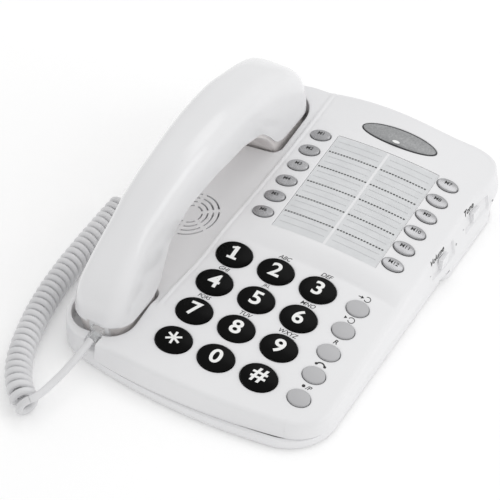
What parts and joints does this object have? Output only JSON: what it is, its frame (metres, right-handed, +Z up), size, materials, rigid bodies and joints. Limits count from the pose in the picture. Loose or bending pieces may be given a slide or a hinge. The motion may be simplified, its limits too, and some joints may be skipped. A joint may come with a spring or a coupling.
{
  "type": "corded desk telephone",
  "caption": "Corded desk telephone with large oval number keys, memory keys beside an index card, side sliders, a curly handset cord and a lift-off handset.",
  "frame": {"origin": "centre of the base's footprint, on the surface that its feet stand on", "axes": "+Z up, +Y towards the back of the phone, +X to the right of a person using it"},
  "size_m": [0.2007, 0.2881, 0.086],
  "materials": {
    "case_white": "satin moulded",
    "handset_white": "polished",
    "key_black": "gloss",
    "key_grey": "satin",
    "key_silver": "metallic lacquer",
    "card_paper": "matt",
    "clear_plastic": "clear",
    "lens_grey": "textured translucent",
    "cord_grey": "satin",
    "rubber_black": "matt",
    "mat_rubber": "matt",
    "steel": "zinc plated",
    "board_green": "solder mask",
    "part_black": "moulded",
    "capsule_metal": "satin"
  },
  "bodies": {
    "base": {"base_plug": "clear_plastic", "base_tail": "cord_grey", "case_screws": "steel", "circuit_boards": "board_green", "cord_jack": "part_black", "curly_cord": "cord_grey", "desk_stand": "case_white", "handset_tail": "cord_grey", "hook_switch": "part_black", "index_card": "card_paper", "index_cover": "clear_plastic", "key_mats": "mat_rubber", "lamp_led": "clear_plastic", "lamp_lens": "lens_grey", "line_jack": "part_black", "lower_case": "case_white", "ringer_speaker": "capsule_metal", "rubber_feet": "rubber_black", "slide_controls": "part_black", "upper_case": "case_white"},
    "handset": {"handset_back_shell": "handset_white", "handset_front_shell": "handset_white", "receiver_capsule": "capsule_metal", "microphone_capsule": "capsule_metal", "handset_weight": "steel", "handset_jack": "part_black", "handset_screws": "steel", "handset_plug": "clear_plastic"},
    "hook_plunger": {"hook_plunger": "part_black"},
    "volume_knob": {"volume_knob": "case_white"},
    "tone_knob": {"tone_knob": "case_white"},
    "key_1": {"key_1": "key_black"},
    "key_2": {"key_2": "key_black"},
    "key_3": {"key_3": "key_black"},
    "key_4": {"key_4": "key_black"},
    "key_5": {"key_5": "key_black"},
    "key_6": {"key_6": "key_black"},
    "key_7": {"key_7": "key_black"},
    "key_8": {"key_8": "key_black"},
    "key_9": {"key_9": "key_black"},
    "key_star": {"key_star": "key_black"},
    "key_0": {"key_0": "key_black"},
    "key_hash": {"key_hash": "key_black"},
    "key_transfer": {"key_transfer": "key_grey"},
    "key_redial": {"key_redial": "key_grey"},
    "key_recall": {"key_recall": "key_grey"},
    "key_headset": {"key_headset": "key_grey"},
    "key_pause": {"key_pause": "key_grey"},
    "memory_key_1": {"memory_key_1": "key_silver"},
    "memory_key_2": {"memory_key_2": "key_silver"},
    "memory_key_3": {"memory_key_3": "key_silver"},
    "memory_key_4": {"memory_key_4": "key_silver"},
    "memory_key_5": {"memory_key_5": "key_silver"},
    "memory_key_6": {"memory_key_6": "key_silver"},
    "memory_key_7": {"memory_key_7": "key_silver"},
    "memory_key_8": {"memory_key_8": "key_silver"},
    "memory_key_9": {"memory_key_9": "key_silver"},
    "memory_key_10": {"memory_key_10": "key_silver"},
    "memory_key_11": {"memory_key_11": "key_silver"},
    "memory_key_12": {"memory_key_12": "key_silver"}
  },
  "joints": [
    {"name": "handset_lift", "type": "slide", "parent": "base", "child": "handset", "axis": [0, 0, 1], "range_m": [0, 0.07]},
    {"name": "hook_plunger_rise", "type": "slide", "parent": "base", "child": "hook_plunger", "axis": [0, 0, 1], "range_m": [0, 0.0031]},
    {"name": "volume_slide", "type": "slide", "parent": "base", "child": "volume_knob", "axis": [0, 1, 0], "range_m": [-0.007, 0.007]},
    {"name": "tone_slide", "type": "slide", "parent": "base", "child": "tone_knob", "axis": [0, 1, 0], "range_m": [-0.007, 0.007]},
    {"name": "key_1_press", "type": "slide", "parent": "base", "child": "key_1", "axis": [-0.0029, 0.1186, -0.9929], "range_m": [0, 0.0015], "stiffness_N_per_m": 300},
    {"name": "key_2_press", "type": "slide", "parent": "base", "child": "key_2", "axis": [-0.0329, 0.1185, -0.9924], "range_m": [0, 0.0015], "stiffness_N_per_m": 300},
    {"name": "key_3_press", "type": "slide", "parent": "base", "child": "key_3", "axis": [-0.0629, 0.1183, -0.991], "range_m": [0, 0.0015], "stiffness_N_per_m": 300},
    {"name": "key_4_press", "type": "slide", "parent": "base", "child": "key_4", "axis": [-0.0029, 0.1186, -0.9929], "range_m": [0, 0.0015], "stiffness_N_per_m": 300},
    {"name": "key_5_press", "type": "slide", "parent": "base", "child": "key_5", "axis": [-0.0329, 0.1185, -0.9924], "range_m": [0, 0.0015], "stiffness_N_per_m": 300},
    {"name": "key_6_press", "type": "slide", "parent": "base", "child": "key_6", "axis": [-0.0629, 0.1183, -0.991], "range_m": [0, 0.0015], "stiffness_N_per_m": 300},
    {"name": "key_7_press", "type": "slide", "parent": "base", "child": "key_7", "axis": [-0.0029, 0.1186, -0.9929], "range_m": [0, 0.0015], "stiffness_N_per_m": 300},
    {"name": "key_8_press", "type": "slide", "parent": "base", "child": "key_8", "axis": [-0.0329, 0.1185, -0.9924], "range_m": [0, 0.0015], "stiffness_N_per_m": 300},
    {"name": "key_9_press", "type": "slide", "parent": "base", "child": "key_9", "axis": [-0.0629, 0.1183, -0.991], "range_m": [0, 0.0015], "stiffness_N_per_m": 300},
    {"name": "key_star_press", "type": "slide", "parent": "base", "child": "key_star", "axis": [-0.0029, 0.1186, -0.9929], "range_m": [0, 0.0015], "stiffness_N_per_m": 300},
    {"name": "key_0_press", "type": "slide", "parent": "base", "child": "key_0", "axis": [-0.0329, 0.1185, -0.9924], "range_m": [0, 0.0015], "stiffness_N_per_m": 300},
    {"name": "key_hash_press", "type": "slide", "parent": "base", "child": "key_hash", "axis": [-0.0629, 0.1183, -0.991], "range_m": [0, 0.0015], "stiffness_N_per_m": 300},
    {"name": "key_transfer_press", "type": "slide", "parent": "base", "child": "key_transfer", "axis": [-0.091, 0.1181, -0.9888], "range_m": [0, 0.0015], "stiffness_N_per_m": 300},
    {"name": "key_redial_press", "type": "slide", "parent": "base", "child": "key_redial", "axis": [-0.091, 0.1181, -0.9888], "range_m": [0, 0.0015], "stiffness_N_per_m": 300},
    {"name": "key_recall_press", "type": "slide", "parent": "base", "child": "key_recall", "axis": [-0.091, 0.1181, -0.9888], "range_m": [0, 0.0015], "stiffness_N_per_m": 300},
    {"name": "key_headset_press", "type": "slide", "parent": "base", "child": "key_headset", "axis": [-0.091, 0.1181, -0.9888], "range_m": [0, 0.0015], "stiffness_N_per_m": 300},
    {"name": "key_pause_press", "type": "slide", "parent": "base", "child": "key_pause", "axis": [-0.091, 0.1181, -0.9888], "range_m": [0, 0.0015], "stiffness_N_per_m": 300},
    {"name": "memory_key_1_press", "type": "slide", "parent": "base", "child": "memory_key_1", "axis": [0.1117, 0.0623, -0.9918], "range_m": [0, 0.0015], "stiffness_N_per_m": 300},
    {"name": "memory_key_2_press", "type": "slide", "parent": "base", "child": "memory_key_2", "axis": [0.1117, 0.0623, -0.9918], "range_m": [0, 0.0015], "stiffness_N_per_m": 300},
    {"name": "memory_key_3_press", "type": "slide", "parent": "base", "child": "memory_key_3", "axis": [0.1117, 0.0623, -0.9918], "range_m": [0, 0.0015], "stiffness_N_per_m": 300},
    {"name": "memory_key_4_press", "type": "slide", "parent": "base", "child": "memory_key_4", "axis": [0.1117, 0.0623, -0.9918], "range_m": [0, 0.0015], "stiffness_N_per_m": 300},
    {"name": "memory_key_5_press", "type": "slide", "parent": "base", "child": "memory_key_5", "axis": [0.1117, 0.0623, -0.9918], "range_m": [0, 0.0015], "stiffness_N_per_m": 300},
    {"name": "memory_key_6_press", "type": "slide", "parent": "base", "child": "memory_key_6", "axis": [0.1117, 0.0623, -0.9918], "range_m": [0, 0.0015], "stiffness_N_per_m": 300},
    {"name": "memory_key_7_press", "type": "slide", "parent": "base", "child": "memory_key_7", "axis": [-0.1697, 0.0618, -0.9836], "range_m": [0, 0.0015], "stiffness_N_per_m": 300},
    {"name": "memory_key_8_press", "type": "slide", "parent": "base", "child": "memory_key_8", "axis": [-0.1697, 0.0618, -0.9836], "range_m": [0, 0.0015], "stiffness_N_per_m": 300},
    {"name": "memory_key_9_press", "type": "slide", "parent": "base", "child": "memory_key_9", "axis": [-0.1697, 0.0618, -0.9836], "range_m": [0, 0.0015], "stiffness_N_per_m": 300},
    {"name": "memory_key_10_press", "type": "slide", "parent": "base", "child": "memory_key_10", "axis": [-0.1697, 0.0618, -0.9836], "range_m": [0, 0.0015], "stiffness_N_per_m": 300},
    {"name": "memory_key_11_press", "type": "slide", "parent": "base", "child": "memory_key_11", "axis": [-0.1697, 0.0618, -0.9836], "range_m": [0, 0.0015], "stiffness_N_per_m": 300},
    {"name": "memory_key_12_press", "type": "slide", "parent": "base", "child": "memory_key_12", "axis": [-0.1697, 0.0618, -0.9836], "range_m": [0, 0.0015], "stiffness_N_per_m": 300}
  ],
  "couplings": [
    {"joint": "hook_plunger_rise", "follows": "handset_lift", "ratio": 0.0428}
  ]
}
